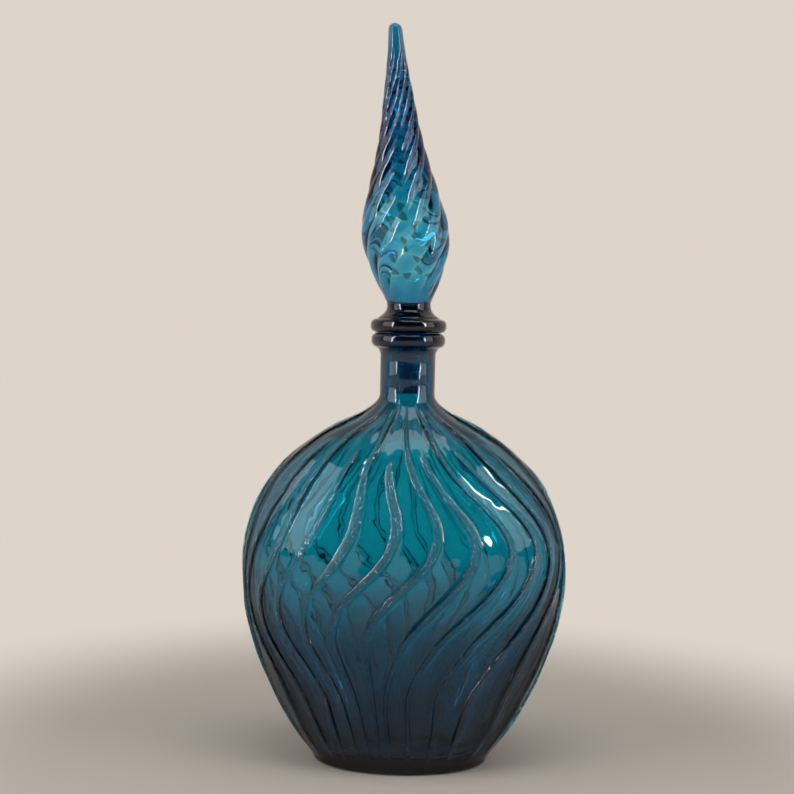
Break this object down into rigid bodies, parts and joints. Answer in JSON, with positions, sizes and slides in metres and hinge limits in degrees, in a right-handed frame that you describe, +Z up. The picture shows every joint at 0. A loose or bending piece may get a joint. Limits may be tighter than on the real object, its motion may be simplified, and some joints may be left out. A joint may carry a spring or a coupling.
{
  "type": "genie bottle",
  "caption": "Tall decanter of blown teal glass with a flattened body of wave ribs, a lipped neck and a lift-out stopper with a hollow twisted flame.",
  "frame": {"origin": "centre of the foot, on the surface the bottle stands on", "axes": "+Z up through the neck, the broad ribbed front faces -Y, +X to the right of the front"},
  "size_m": [0.2022, 0.123, 0.4576],
  "materials": {
    "body_glass": "gloss",
    "lip_glass": "gloss",
    "plug_glass": "satin",
    "flame_glass": "gloss"
  },
  "bodies": {
    "bottle": {"bottle_body": "body_glass", "bottle_neck": "body_glass", "lip_ring": "lip_glass"},
    "stopper": {"stopper_plug": "plug_glass", "stopper_collar": "lip_glass", "stopper_flame": "flame_glass"}
  },
  "joints": [
    {"name": "stopper_lift", "type": "slide", "parent": "bottle", "child": "stopper", "axis": [0, 0, 1], "range_m": [0, 0.05]}
  ]
}
